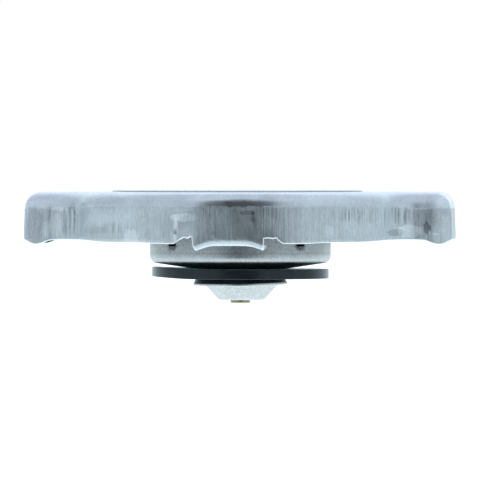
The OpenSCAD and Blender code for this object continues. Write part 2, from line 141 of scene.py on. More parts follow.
class ShellSizes(bpy.types.PropertyGroup):
    """Sizes of the drawn shell."""
    sheet: length("Sheet", "Thickness of the steel sheet", 0.9)
    body_radius: length("Body radius", "Radius of the round body", 25.5)
    ear_reach: length("Ear reach", "From the axis to the end of an ear", SHELL_HIGH.x / MM - 0.22)
    ear_width: length("Ear width", "Width over the corners of an ear", 15.0)
    ear_corner: length("Ear corner", "Radius of an ear's corners in plan", 1.2)
    ear_side: length("Ear side", "Radius of an ear's slightly round sides in plan", 20.0)
    ear_taper: angle("Ear taper", "How much each side of an ear is turned where its hollow starts", 13.0)
    right_nose: angle("Right nose", "How much the right ear's sides are turned at its corners", 27.0)
    left_nose: angle("Left nose", "How much the left ear's sides are turned at its corners", 21.0)
    shoulder_radius: length("Shoulder radius", "Bend of the crown into an ear", 2.2)
    flank_radius: length("Flank radius", "Bend of the crown into the body", 1.8)
    skirt_step: length("Skirt step", "Step where the skirt was sized after drawing", 0.25)
    skirt_drop: length("Skirt drop", "From the neck rim down to the skirt's edge", 4.4)
    edge_rise: length("Edge rise", "Rise of the skirt's edge between ear and lug", 0.3)
    edge_wave_x: length("Edge wave place", "Distance of that rise from the axis", 24.7)
    edge_wave_radius: length("Edge wave radius", "Radius of that rise", 40.0)
    flank_rise: length("Flank rise", "How far the skirt's edge rises beside a lug", 0.14)
    foot_dip: length("Foot dip", "How far the skirt's edge sags near the end of an ear", 0.46)
    foot_x: length("Foot place", "Distance of that sag from the axis", 29.5)
    foot_width: length("Foot width", "Half the width of that sag", 2.2)
    tip_rise: length("Tip rise", "Rise of the skirt's edge at the end of an ear", 0.25)
    flat_inset: length("Flat inset", "Depth of the flat over a lug", 0.7)
    flat_rise: length("Flat rise", "How far the front flat comes out towards its top", 0.15)
    flat_bow: length("Flat bow", "Radius of the front flat, which isn't quite flat", 54.0)
    flat_tilt: angle("Flat tilt", "How far the front flat is turned at its crease", 9.9)
    crease_x: length("Crease place", "Distance of the torn crease from the axis", 7.95)
    flat_top: length("Flat top", "Height at which the flat's step starts", 0.95)
    flat_step: angle("Flat step", "Slope of the step over the flat", 52.0)
    step_height: length("Skirt step height", "Height over which that step fades out", 0.5)
    edge_curl: length("Edge curl", "How much the skirt's edge curls in", 0.1)
    curl_height: length("Curl height", "Height of the skirt's curled edge", 0.9)
    wall_lean: length("Wall lean", "How much the skirt's wall opens towards its edge", 0.15)
    crease_depth: length("Crease depth", "Depth of the torn crease beside a flat", 0.32)
    sharp_bend: length("Sharp bend", "Softness of the flat's sharp bend", 0.08)
    broad_bend: length("Broad bend", "Softness of the flat's broad bend", 0.7)
    lug_width: length("Lug width", "Width of a locking lug", 10.1)
    lug_flare: length("Lug flare", "How much a lug widens up to its root on its torn side", 0.5)
    lug_level: length("Lug level", "Width of a lug's level middle", 6.0)
    lug_slope: angle("Lug slope", "Slope of a lug's two ends", 20.0)
    lug_reach: length("Lug reach", "How far a lug reaches in from its flat", 4.8)
    lug_fold: length("Lug fold", "Outer radius of a lug's fold", 1.1)
    notch_width: length("Notch width", "Level width of the cut beside a lug", 1.3)
    notch_slope: length("Notch slope", "Width of that cut's sloped side", 1.45)
    notch_height: length("Notch height", "From the neck rim down to the top of the cut", 3.65)
    notch_tear: length("Notch tear", "Roughness of the torn edge in the cut", 0.28)
    dish_radius: length("Crown dish radius", "Radius of the recess for the rivet's head", 6.0)
    dish_depth: length("Crown dish depth", "Depth of that recess", 0.8)
    dish_bend: length("Crown dish bend", "Width over which that recess comes up to the crown", 2.6)
    hole_radius: length("Hole radius", "Radius of the hole for the rivet", 3.05)
    edge_round: length("Edge rounding", "Rounding of the cut edges", 0.18)


class GasketSizes(bpy.types.PropertyGroup):
    """Sizes of the pressure gasket."""
    radius: length("Radius", "Outer radius of the washer", GASKET_HIGH.x / MM)
    thickness: length("Thickness", "Thickness of the washer", 1.4)
    bore: length("Bore", "Radius of the hole round the cup's collar", 4.25)
    lip_root: length("Lip root", "Outer radius of the lip at its root", 6.46)
    lip_edge: length("Lip edge", "Outer radius of the lip at its edge", 6.9)
    lip_wall: length("Lip wall", "Thickness of the lip", 0.8)
    groove: length("Groove", "Width and depth of the groove round the lip", 0.15)
    edge_round: length("Edge rounding", "Rounding of the moulded edges", 0.24)
    warp_from: length("Warp start", "Where the washer starts to curl up on one side", 5.5)
    warp_rise: length("Warp rise", "How far that side has curled up", 0.34)


class DishSizes(bpy.types.PropertyGroup):
    """Sizes of the vacuum dish."""
    sheet: length("Sheet", "Thickness of the dish's sheet", 0.32)
    rim_width: length("Rim width", "Width of the dish's level rim", 1.85)
    floor_radius: length("Floor radius", "Radius of the dish's floor", 3.15)
    corner: length("Corner", "Bend between the floor and the cone", 0.8)
    root: length("Root", "Bend between the cone and the rim", 0.4)
    hole: length("Hole", "Radius of the hole for the stem's neck", 0.85)
    edge_round: length("Edge rounding", "Rounding of the rim's edge", 0.08)
    bulge: length("Bulge", "How far the cone stands out on one side", 0.3)
    rim_bend: length("Rim bend", "How far the rim is bent up on that side", 0.2)


class FinishColours(bpy.types.PropertyGroup):
    """Colours of the finishes."""
    plated: colour("Plated steel", "Bright plating of the shell", (0.69, 0.74, 0.775))
    stain: colour("Stain", "Brown stain on the plating", (0.44, 0.37, 0.31))
    # The cut edges' own bare steel, raised to near white as a painted highlight along the edges
    sheared: colour("Sheared steel", "Bare cut edges of the shell, brightened as a painted highlight", (0.95, 0.97, 0.98))
    drawn: colour("Drawn steel", "Steel of the valve's pressings", (0.655, 0.675, 0.67))
    spring: colour("Spring steel", "Steel of the springs", (0.47, 0.485, 0.5))
    dish: colour("Dish", "Pale plating of the vacuum dish", (0.705, 0.705, 0.69))
    brass: colour("Brass", "Turned brass of the stem", (0.5, 0.45, 0.29))
    rubber: colour("Rubber", "Moulded black rubber", (0.005, 0.0065, 0.009))
    film: colour("Film", "Bare satin film on the crown", (0.76, 0.8, 0.83))
    # Painted shadow: the dark line along the bottom of the film's edge, where it meets the crown
    painted_edge_shadow: colour("Painted edge shadow", "Painted shadow line under the edge of that film", (0.58, 0.6, 0.62))


class StageSettings(bpy.types.PropertyGroup):
    """Camera, floor and light."""
    azimuth: angle("Azimuth", "Camera's place round the axis", 3.7)
    elevation: angle("Elevation", "Camera's height above the level", 0.55)
    distance: length("Distance", "From the camera to the object", 1400.0)
    view_width: length("View width", "Width that the picture covers", 70.6)
    aim_x: length("Aim sideways", "Camera's aim to the side of the axis", -0.06)
    aim_z: length("Aim height", "Camera's aim above the neck rim", -4.1)
    floor_drop: length("Floor drop", "From the lowest point down to the floor", 26.0)
    daylight: colour("Daylight", "Tint of the light from the sides", (0.8, 0.93, 1.0))
    skylight: colour("Skylight", "Tint of the light from above", (0.78, 0.87, 1.0))


def soft_min(a, b, width):
    """The smaller of two values, with a rounded change between them."""
    share = min(1.0, max(0.0, 0.5 + 0.5 * (b - a) / width))
    return b + (a - b) * share - width * share * (1.0 - share)


def soft_ramp(value, width):
    """Zero below zero and the value above it, with a rounded change between them."""
    return 0.5 * (value + math.sqrt(value * value + width * width) - width)


def smooth_step(low, high, value):
    """A smooth change from 0 to 1 between two values."""
    share = min(1.0, max(0.0, (value - low) / (high - low)))
    return share * share * (3.0 - 2.0 * share)


def arc(centre, radius, start, end, count):
    """Points of an arc, without its last point."""
    turns = [start + (end - start) * step / count for step in range(count)]
    return [centre + radius * Vector((math.cos(turn), math.sin(turn))) for turn in turns]


def straight(start, end, count):
    """Points of a straight stretch, without its last point."""
    return [start.lerp(end, step / count) for step in range(count)]


def ear_quarter(sizes, nose, inset):
    """A quarter of the shell's outline, set in, from the end of an ear round to a lug's middle."""
    body = sizes.body_radius

    def facing(turn):
        return Vector((math.sin(turn), math.cos(turn)))

    # The ear's side touches its corner's arc, and the hollow's arc touches that side and the round body
    corner = Vector((sizes.ear_reach, sizes.ear_width / 2)) - Vector((1, 1)) * sizes.ear_corner
    side = corner - (sizes.ear_side - sizes.ear_corner) * facing(nose)
    taper = min(sizes.ear_taper, nose / 2)
    out = facing(taper)
    touch = side + sizes.ear_side * out
    hollow_radius = (touch.length_squared - body ** 2) / (2 * (body - touch.dot(out)))
    hollow = touch + hollow_radius * out
    meeting = math.atan2(hollow.y, hollow.x)
    lug_step = sizes.lug_width / LUG_COLUMNS
    lug_zone = math.acos(LUG_STEPS * lug_step / body)

    # Set in, the corner's arc moves along the ear's side, and stays wider than the sheet is thick
    tight = max(sizes.ear_corner - inset, 1.2 * sizes.sheet)
    end = sizes.ear_reach - inset
    along = end - tight - side.x
    corner = side + Vector((along, math.sqrt((sizes.ear_side - inset - tight) ** 2 - along ** 2)))
    turned_nose = math.atan2(corner.x - side.x, corner.y - side.y)
    nose_end = RIGHT_ANGLE - turned_nose
    line = straight(Vector((end, 0)), Vector((end, corner.y)), END_STEPS)
    line += arc(corner, tight, 0, nose_end, CORNER_STEPS)
    line += arc(side, sizes.ear_side - inset, nose_end, RIGHT_ANGLE - taper, SIDE_STEPS)
    line += arc(hollow, hollow_radius + inset, 3 * RIGHT_ANGLE - taper, math.pi + meeting, SIDE_STEPS)
    line += arc(Vector((0, 0)), body - inset, meeting, lug_zone, BODY_STEPS)
    for step in range(LUG_STEPS, -1, -1):
        x = step * lug_step
        line.append(Vector((x, math.sqrt(body ** 2 - x * x))) * (1 - inset / body))
    return line


def shell_outline(sizes, inset):
    """The shell's outline round the axis, set in by a distance."""
    right = ear_quarter(sizes, sizes.right_nose, inset)
    left = ear_quarter(sizes, sizes.left_nose, inset)
    back = right + [Vector((-p.x, p.y)) for p in left[-2::-1]]
    return back + [Vector((p.x, -p.y)) for p in back[-2:0:-1]]


def lug_flare(sizes, x, y):
    """How much wider a lug is at its root, on one side or the other."""
    return sizes.lug_flare if x * y > 0 else CLEAN_FLARE * sizes.lug_flare


def skirt_edge(sizes, x, y):
    """Height of the skirt's lower edge at a place on the outline."""
    reach = abs(x)
    wave = sizes.edge_rise - (reach - sizes.edge_wave_x) ** 2 / (2 * sizes.edge_wave_radius)
    tip = smooth_step(sizes.ear_reach - TIP_WIDTH, sizes.ear_reach, reach)
    dip = sizes.foot_dip * max(0.0, 1 - ((reach - sizes.foot_x) / sizes.foot_width) ** 2) ** 2
    flank = sizes.flank_rise * smooth_step(*FLANK_FADE, reach)
    height = flank - sizes.skirt_drop + soft_ramp(wave, EDGE_SOFT) + sizes.tip_rise * tip - dip
    cut_end = sizes.lug_width / 2 + sizes.notch_width + lug_flare(sizes, x, y)
    if reach < cut_end + sizes.notch_slope and abs(y) > sizes.body_radius / 2:
        fall = smooth_step(cut_end, cut_end + sizes.notch_slope, reach)
        torn = sizes.notch_tear * noise.noise(Vector((x, y, 0)) / TEAR_SIZE) * (1 - fall)
        height += (-sizes.notch_height - height) * (1 - fall) + torn
    return height


def flat_limit(sizes, x, z, front):
    """How far out the pressed flat over a lug lets the wall stand."""
    if not front:
        step = soft_ramp(z - sizes.flat_top, STEP_SOFT) / math.tan(sizes.flat_step)
        return sizes.body_radius - sizes.flat_inset + step
    along = x + sizes.crease_x
    if along < 0:
        return sizes.body_radius
    start = math.sqrt(sizes.body_radius ** 2 - sizes.crease_x ** 2)
    torn = smooth_step(*TEAR_FALL, -z) * (1 - smooth_step(*TEAR_SPREAD, along))
    bowed = along * math.tan(sizes.flat_tilt) - along ** 2 / (2 * sizes.flat_bow)
    fade = smooth_step(*FLAT_FADE, z)
    return start + bowed - sizes.crease_depth * torn + sizes.flat_rise * fade


def shell_place(sizes, spot, z):
    """A place on the shell's outside, with the flats over the lugs pressed in."""
    side = math.copysign(1.0, spot.y)
    x = spot.x
    bend = sizes.sharp_bend
    front = side < 0
    if front:
        bend += (sizes.broad_bend - sizes.sharp_bend) * smooth_step(*BEND_FADE, x)
    reach = soft_min(abs(spot.y), flat_limit(sizes, x, z, front), bend)
    return Vector((x, side * reach, z))


def shell_rows(sizes):
    """Rows of places from the rivet's hole, over the crown and down to the skirt's edge."""
    crown = LABEL_LOW.z
    floor = crown - sizes.dish_depth
    rows = []

    def ring(radius, z):
        rows.append([(p.normalized() * radius).to_3d() + Vector((0, 0, z)) for p in middle])

    deepest = sizes.skirt_step + sizes.shoulder_radius
    outer = shell_outline(sizes, 0.0)
    middle = shell_outline(sizes, deepest)
    ring(sizes.hole_radius, floor)
    for step in range(DISH_STEPS + 1):
        share = step / DISH_STEPS
        rise = sizes.dish_depth * smooth_step(0, 1, share)
        ring(sizes.dish_radius + sizes.dish_bend * share, floor + rise)
    ring(sizes.body_radius * 0.8, crown)

    columns = []
    for point, inner in zip(outer, middle):
        to_ear = smooth_step(*EAR_FADE, abs(point.x))
        radius = sizes.flank_radius + (sizes.shoulder_radius - sizes.flank_radius) * to_ear
        column = []
        for step in range(SHOULDER_STEPS + 1):
            turn = RIGHT_ANGLE * step / SHOULDER_STEPS
            column.append((sizes.skirt_step + radius * (1 - math.sin(turn)),
                           crown - radius * (1 - math.cos(turn))))
        low = crown - radius
        for step in range(1, EASE_STEPS + 1):
            fall = step / EASE_STEPS
            eased = sizes.skirt_step - (sizes.skirt_step - sizes.wall_lean) * smooth_step(0, 1, fall)
            column.append((eased, low - sizes.step_height * fall))
        wall_top = low - sizes.step_height
        edge = skirt_edge(sizes, point.x, point.y)
        for step in range(1, WALL_STEPS + 1):
            fall = step / WALL_STEPS
            z = wall_top + (edge - wall_top) * fall
            curl = max(0.0, 1 - (z - edge) / sizes.curl_height) ** 2
            column.append((sizes.wall_lean * (1 - fall) + sizes.edge_curl * curl, z))
        columns.append([shell_place(sizes, point.lerp(inner, inset / deepest), z) for inset, z in column])
    rows += [list(row) for row in zip(*columns)]
    return rows


def extrude_rows(bm, verts, rows):
    """Draws a sheet on from a line of vertices, one row of places at a time."""
    for row in rows:
        edges = [e for a, b in zip(verts, verts[1:] + verts[:1]) for e in a.link_edges
                 if e.other_vert(a) is b]
        drawn = bmesh.ops.extrude_edge_only(bm, edges=edges)["geom"]
        fresh = {v for v in drawn if isinstance(v, bmesh.types.BMVert)}
        verts = [next(e.other_vert(v) for e in v.link_edges if e.other_vert(v) in fresh)
                 for v in verts]
        for vert, place in zip(verts, row):
            vert.co = place
    return verts


def fold_lug(bm, sizes, edge_verts, side):
    """Folds a locking lug in from the edge over it."""
    half = sizes.lug_width / 2
    slack = 0.01 * MM
    line = [v for v in edge_verts if v.co.y * side > 0
            and abs(v.co.x) < half + lug_flare(sizes, v.co.x, v.co.y) + slack]
    line.sort(key=lambda v: v.co.x)
    rows = []
    for step in range(1, FOLD_STEPS + 1):
        turn = RIGHT_ANGLE * step / FOLD_STEPS
        rows.append((sizes.lug_fold * (1 - math.cos(turn)), sizes.lug_fold * math.sin(turn)))
    for step in range(1, PLATE_STEPS + 1):
        inward = sizes.lug_fold + (sizes.lug_reach - sizes.lug_fold) * step / PLATE_STEPS
        rows.append((inward, sizes.lug_fold))
    places = []
    for inward, drop in rows:
        row = []
        for vert in line:
            flare = lug_flare(sizes, vert.co.x, vert.co.y)
            x = vert.co.x * (1 - flare / (half + flare) * drop / sizes.lug_fold)
            fall = soft_ramp(abs(x) - sizes.lug_level / 2, LUG_SOFT) + LUG_SAG
            low = -sizes.notch_height - drop - fall * math.tan(sizes.lug_slope)
            row.append(Vector((x, vert.co.y - side * inward, low)))
        places.append(row)
    extrude_rows(bm, line, places)


def round_cut_edges(context, sheet, rounding):
    """Makes a sheet's thickness final, and rounds the outer edges along its cut rim."""
    outside = len(sheet.data.polygons)
    thick = bpy.data.meshes.new_from_object(sheet.evaluated_get(context.evaluated_depsgraph_get()))
    sheet.modifiers.clear()
    bm = bmesh.new()
    bm.from_mesh(thick)
    bpy.data.meshes.remove(thick)
    bm.faces.ensure_lookup_table()
    outer = set(bm.faces[:outside])
    cut = [e for e in bm.edges if sum(f in outer for f in e.link_faces) == 1
           and any(f.material_index == 1 for f in e.link_faces)]
    bmesh.ops.bevel(bm, geom=cut, offset=rounding, offset_type="OFFSET", affect="EDGES",
                    segments=ROUND_STEPS, profile=0.5, material=1, clamp_overlap=False)
    bm.to_mesh(sheet.data)
    bm.free()
    sheet.data.set_sharp_from_angle(angle=SHARP)


def turn_profile(bm, profile, steps):
    """Turns a closed profile of radius and height round the axis."""
    verts = [bm.verts.new((radius, 0.0, z)) for radius, z in profile]
    edges = [bm.edges.new(pair) for pair in zip(verts, verts[1:] + verts[:1])]
    bmesh.ops.spin(bm, geom=verts + edges, cent=(0, 0, 0), axis=(0, 0, 1), angle=2 * math.pi,
                   steps=steps, use_merge=True)
    bmesh.ops.recalc_face_normals(bm, faces=bm.faces)


def new_piece(name, bm, body, material):
    """Makes a piece from a bmesh, with its body, finish and smooth faces."""
    mesh = bpy.data.meshes.new(name)
    for face in bm.faces:
        face.smooth = True
    bm.to_mesh(mesh)
    bm.free()
    mesh.set_sharp_from_angle(angle=SHARP)
    piece = bpy.data.objects.new(name, mesh)
    bpy.context.scene.collection.objects.link(piece)
    piece.data.materials.append(material)
    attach(piece, body)
    return piece


def set_input(tree, socket, value):
    """Links a socket, or gives it a plain value."""
    if isinstance(value, bpy.types.NodeSocket):
        tree.links.new(value, socket)
    else:
        socket.default_value = value


def set_inputs(tree, node, inputs):
    """Links or sets a node's inputs by socket name."""
    for key, value in inputs.items():
        set_input(tree, node.inputs[key], value)


def add_node(tree, kind, settings=None, **inputs):
    """Adds a node with its settings, and its inputs by socket name."""
    node = tree.nodes.new(kind)
    for key, value in (settings or {}).items():
        setattr(node, key, value)
    set_inputs(tree, node, inputs)
    return node


def add_in_order(tree, kind, settings, values):
    """Adds a node with its inputs in their order, and gives its outputs."""
    node = add_node(tree, kind, settings)
    for socket, value in zip(node.inputs, values):
        set_input(tree, socket, value)
    return node.outputs


def calc(tree, operation, *values):
    """A math node's result."""
    return add_in_order(tree, "ShaderNodeMath", {"operation": operation}, values)[0]


def vector_calc(tree, operation, *values):
    """A vector math node's outputs."""
    return add_in_order(tree, "ShaderNodeVectorMath", {"operation": operation}, values)


def between(tree, value, low, high, out_low=0.0, out_high=1.0):
    """A value mapped smoothly from one range to another."""
    values = (value, low, high, out_low, out_high)
    return add_in_order(tree, "ShaderNodeMapRange", {"interpolation_type": "SMOOTHSTEP"}, values)[0]


def swing(tree, value, middle, depth):
    """How far a value lies from a middle, times a depth."""
    return calc(tree, "MULTIPLY", calc(tree, "SUBTRACT", value, middle), depth)


def axes(tree, vector):
    """A vector's X, Y and Z."""
    return add_node(tree, "ShaderNodeSeparateXYZ", Vector=vector).outputs


def bumped(tree, height, strength, depth):
    """A normal bent by a height, whose depth is in millimetres."""
    node = add_node(tree, "ShaderNodeBump", Strength=strength, Distance=depth * MM, Height=height)
    return node.outputs["Normal"]


def blend_colour(tree, share, first, second):
    """Two colours mixed by a share."""
    node = add_node(tree, "ShaderNodeMix", {"data_type": "RGBA"})
    for place, value in ((0, share), (6, first), (7, second)):
        if not isinstance(value, (float, bpy.types.NodeSocket)):
            value = (*value, 1.0)
        set_input(tree, node.inputs[place], value)
    return node.outputs[2]


def scaled(tree, vector, scale):
    """A vector times a scale per axis."""
    return vector_calc(tree, "MULTIPLY", vector, scale)[0]


def dot(tree, vector, direction):
    """How far a vector points along a direction."""
    return vector_calc(tree, "DOT_PRODUCT", vector, direction)["Value"]


def new_group(name, inputs, outputs):
    """A shader node group with named sockets, and the sockets at its two ends."""
    group = bpy.data.node_groups.new(name, "ShaderNodeTree")
    for label, default in inputs.items():
        kind = "NodeSocketFloat" if isinstance(default, float) else "NodeSocketVector"
        socket = group.interface.new_socket(label, in_out="INPUT", socket_type=kind)
        socket.default_value = default
    for label in outputs:
        group.interface.new_socket(label, in_out="OUTPUT", socket_type="NodeSocketFloat")
    start = group.nodes.new("NodeGroupInput")
    end = group.nodes.new("NodeGroupOutput")
    return group, start.outputs, end.inputs


def noise_value(tree, vector, scale, detail, rough):
    """The value of a noise texture."""
    node = add_node(
        tree, "ShaderNodeTexNoise", Vector=vector, Scale=scale, Detail=detail, Roughness=rough)
    return node.outputs["Fac"]


def draw_marks_group():
    """Upright lines left by drawing, from dark 0 to light 1."""
    inputs = {"Place": (0, 0, 0), "Across": 3.0, "Along": 0.05}
    group, start, end = new_group("draw_marks", inputs, ("Marks",))
    stretch = add_node(group, "ShaderNodeCombineXYZ", X=1.0, Y=1.0, Z=start["Along"]).outputs[0]
    lines = noise_value(group, scaled(group, start["Place"], stretch), start["Across"], 5.0, 0.65)
    set_input(group, end["Marks"], between(group, lines, 0.3, 0.7))
    return group


def grain_group():
    """Fine speckle and broad clouds of a metal or rubber surface, each from 0 to 1."""
    inputs = {"Place": (0, 0, 0), "Size": 5.0}
    group, start, end = new_group("grain", inputs, ("Speckle", "Clouds"))
    speckle = noise_value(group, start["Place"], start["Size"], 4.0, 0.7)
    clouds = noise_value(group, start["Place"], calc(group, "DIVIDE", start["Size"], 16.0), 4.0, 0.6)
    set_input(group, end["Speckle"], between(group, speckle, 0.3, 0.7))
    set_input(group, end["Clouds"], between(group, clouds, 0.3, 0.7))
    return group


def ragged_patch_group():
    """A ragged patch round a centre, 1 inside and 0 outside."""
    inputs = {"Place": (0, 0, 0), "Centre": (0, 0, 0), "Reach": (1, 1, 1), "Soft": 0.6}
    group, start, end = new_group("ragged_patch", inputs, ("Mask",))
    offset = vector_calc(group, "SUBTRACT", start["Place"], start["Centre"])[0]
    share = vector_calc(group, "DIVIDE", offset, start["Reach"])[0]
    far = vector_calc(group, "LENGTH", share)["Value"]
    torn = swing(group, noise_value(group, start["Place"], 1.7, 4.0, 0.65), 0.5, 1.2)
    edge = calc(group, "ADD", far, torn)
    outside = 1.1
    full = calc(group, "SUBTRACT", outside, start["Soft"])
    set_input(group, end["Mask"], between(group, edge, full, outside, 1.0, 0.0))
    return group


def effect(tree, name, label, **inputs):
    """Places a shared node group, built when first needed, and gives its outputs."""
    makers = {"draw_marks": draw_marks_group, "grain": grain_group, "ragged_patch": ragged_patch_group}
    group = bpy.data.node_groups.get(name) or makers[name]()
    return add_node(tree, "ShaderNodeGroup", {"node_tree": group, "label": label}, **inputs).outputs


def new_material(name):
    """A material, its node tree and its Principled shader."""
    material = bpy.data.materials.new(name)
    material.use_nodes = True
    tree = material.node_tree
    return material, tree, tree.nodes["Principled BSDF"]


def new_finish(name, grain_size):
    """A material with its Object coordinates in millimetres, and the grain of its surface."""
    material, tree, shader = new_material(name)
    place = scaled(tree, add_node(tree, "ShaderNodeTexCoord").outputs["Object"], [1 / MM] * 3)
    grain = effect(tree, "grain", "grain", Place=place, Size=grain_size)
    return material, tree, shader, place, grain


def toned(tree, base, tone):
    """A colour made lighter or darker by a tone."""
    node = add_node(tree, "ShaderNodeVectorMath", {"operation": "SCALE"}, Vector=base, Scale=tone)
    return node.outputs[0]


def add_up(tree, values):
    """The sum of several values."""
    total = values[0]
    for value in values[1:]:
        total = calc(tree, "ADD", total, value)
    return total


# Marks on the skirt: centre and reach in millimetres, how much each lightens the plating, softness. The
# rubbed, smeared and stained patches and the drawn lines are the metal's own; most of the other marks are
# painted shade and painted highlights on its bends, hollows, edges, ears and an unmodelled dent.
SHELL_MARKS = (
    ("smear over the crease", (-6.6, -24.4, -0.6), (2.0, 3, 0.62), 0.32, 0.3),
    # Painted highlight on the bright edge of the crease
    ("painted highlight on the edge of the crease", (-7.85, -24.2, -2.5), (0.36, 3, 2.4), 0.42, 0.5),
    ("smear under the step", (-6.8, -24.4, 0.4), (1.6, 3, 0.3), 0.1, 0.5),
    ("triangular rub", (-14.6, -21, -3.9), (1.2, 3, 1.8), 0.24, 0.3),
    # Painted highlight along the lower edge of the left flank
    ("painted highlight along the edge of the left flank", (-16.5, -19, -4.3), (9.0, 12, 0.6), 0.2, 0.5),
    ("rub right of the lug", (14.2, -21.2, -2.7), (0.9, 3, 1.2), 0.14, 0.5),
    # Painted highlight along the lower edge of the right flank
    ("painted highlight along the edge of the right flank", (14.5, -20, -4.2), (6.0, 12, 0.4), 0.1, 0.5),
    ("scuff by the right ear", (25.4, -9.4, -2.7), (1.7, 3, 0.95), 0.28, 0.25),
    ("crescent by the right ear", (23.4, -10.4, -2.9), (1.5, 3, 0.5), -0.28, 0.25),
    # Painted shade and painted highlight of a dent that the mesh doesn't have
    ("painted shade of a dent in the right ear", (27.8, -8.1, -2.3), (0.6, 3, 1.0), -0.34, 0.5),
    ("shade round that dent", (28.2, -8.1, -0.8), (1.35, 3, 3.5), -0.36, 1.0),
    ("painted highlight on the rim of that dent", (29.1, -8.1, -3.15), (0.42, 3, 0.2), 0.3, 0.4),
    ("shade on the left shoulder", (-22.6, -10.5, 1.9), (4.5, 6, 1.3), -0.09, 0.9),
    ("shade in the left hollow's shoulder", (-18.6, -14.5, 1.9), (5.5, 8, 1.3), -0.14, 0.9),
    ("light on the right shoulder", (12.5, -21.0, 1.9), (9.0, 10, 1.3), 0.16, 0.9),
    ("light on the broad bend", (5.4, -24.9, -1.4), (1.3, 3, 2.6), 0.36, 0.9),
    ("upper rub by the left ear", (-26.2, -8.6, 0.5), (1.4, 3, 0.35), 0.16, 0.4),
    ("lower rub by the left ear", (-26.6, -8.4, -1.9), (1.0, 3, 1.9), 0.16, 0.4),
    # Painted shade on the front of the left ear
    ("painted shade on the front of the left ear", (-29.6, -8.0, -2.0), (1.35, 3, 3.2), -0.17, 0.35),
    ("bright line by the left ear", (-28.1, -8.4, -2.5), (0.5, 3, 1.5), 0.14, 0.5),
    # Painted highlight on the corner of the right ear, and painted shade on its end face
    ("painted highlight on the corner of the right ear", (30.4, -7.0, 1.6), (1.7, 6, 1.2), 0.2, 0.6),
    ("painted shade on the end of the right ear", (31.7, 0, -0.8), (0.8, 14, 4.6), -0.24, 0.5),
    # Painted highlight on the shoulder of the left ear
    ("painted highlight on the shoulder of the left ear", (-28.7, -7.5, 1.25), (2.6, 6, 0.75), 0.16, 0.7),
    ("pale foot of the right ear", (30.7, -7.2, -2.3), (0.9, 3, 2.0), 0.15, 0.6),
    ("pale hollow of the right ear", (25.6, -9.3, -1.2), (0.7, 3, 1.2), 0.1, 0.6),
    ("shade over the broad bend", (5.3, -23.5, 1.8), (1.8, 5, 1.0), -0.16, 0.8),
    ("light over the flat", (-3.2, -23.5, 2.0), (4.6, 6, 0.9), 0.1, 0.8),
    # Painted shade by the crease
    ("painted shade by the crease", (-9.0, -23.4, -1.4), (1.4, 3, 3.2), -0.08, 0.7),
    # Painted highlight on the side of the flat
    ("painted highlight on the side of the flat", (-5.2, -24.8, -1.4), (1.4, 3, 3.0), 0.1, 0.8),
    ("foot of the left ear", (-28.4, -8.4, -3.3), (0.9, 3, 0.9), 0.08, 0.5),
    ("pale patch on the left flank", (-19.6, -16.5, -0.9), (3.4, 6, 1.1), 0.07, 0.7),
    ("dull patch on the left flank", (-20.4, -16.0, -2.6), (2.6, 6, 0.7), -0.1, 0.7),
    # Painted shade under the step of the left shoulder
    ("painted shade under the left shoulder", (-18.6, -17.5, 0.75), (2.6, 6, 0.22), -0.1, 0.8),
    ("pale right flank", (21.0, -15.0, -2.0), (8.0, 12, 4.0), 0.1, 0.9),
    ("pale left flank", (-15.5, -19.5, -1.5), (4.5, 8, 3.5), 0.08, 0.9),
    ("stain on the flat", (2.6, -25, 0.05), (1.1, 3, 0.36), -0.3, 0.3),
    ("stain down the flat", (3.4, -25, -0.5), (0.4, 3, 0.9), -0.25, 0.5),
    ("stain at the fold", (-2.3, -25, -2.9), (0.4, 3, 0.35), -0.2, 0.5),
    # Painted shade in the concave left hollow
    ("painted shade band in the left hollow", (-24.1, -9.9, -0.7), (0.55, 3, 2.7), -0.14, 0.7),
    ("painted shade patch in the left hollow", (-25.3, -9.1, -2.0), (0.6, 3, 1.5), -0.1, 0.8),
    ("first line in the left hollow", (-24.45, -9.7, -0.9), (0.2, 3, 2.4), -0.08, 0.5),
    ("second line in the left hollow", (-23.7, -10.3, -0.9), (0.18, 3, 2.4), -0.09, 0.5),
    ("line on the left ear", (-27.5, -8.4, -0.3), (0.2, 3, 1.2), -0.2, 0.5),
    ("first line on the right flank", (17.0, -19, -0.5), (0.13, 3, 1.1), -0.22, 0.5),
    ("second line on the right flank", (18.5, -17.5, -0.6), (0.13, 3, 1.2), -0.24, 0.5),
    ("third line on the right flank", (21.9, -13, -0.6), (0.14, 3, 1.2), -0.2, 0.5),
    ("first line in the right hollow", (23.8, -10.3, -0.6), (0.17, 3, 1.3), -0.24, 0.5),
    ("second line in the right hollow", (24.6, -9.6, -0.5), (0.15, 3, 1.2), -0.2, 0.5),
)
# Brown stain along the step over the front flat
STEP_STAIN = (("stain along the step", (0.6, -24.6, 1.3), (4.8, 3, 0.46), 0.5, 0.6),)
# Places where the draw marks are deep
DEEP_DRAW_MARKS = (
    ("hollow of the left ear", (-24.4, -9.2, -0.9), (1.7, 3, 2.8), 0.6, 0.6),
    ("broad bend of the flat", (5.2, -24.9, -1.2), (2.3, 3, 3.4), 0.34, 0.6),
    ("right flank", (18.5, -17.5, -0.4), (6.5, 5, 1.3), 0.4, 0.6),
    ("hollow of the right ear", (24.2, -9.9, -0.2), (2.2, 3, 1.7), 0.5, 0.6),
    ("left flank", (-17, -19, -2.2), (4, 4, 0.9), 0.3, 0.6),
)
# Painted shade under the cup's windows, and a painted shade line and a painted reflection of the floor
# round its bottom band, the same round all four sides
CUP_PAINTED_LIGHT = (
    ("painted shade under a window", (9.4, 9.4, -5.0), (1.3, 1.3, 0.8), -0.62, 0.8),
    ("painted shade line over the bottom band", (0, 0, -5.95), (60, 60, 0.14), -0.12, 0.7),
    ("painted reflection on the bottom band", (0, 0, -6.65), (60, 60, 0.55), 0.14, 0.5),
)


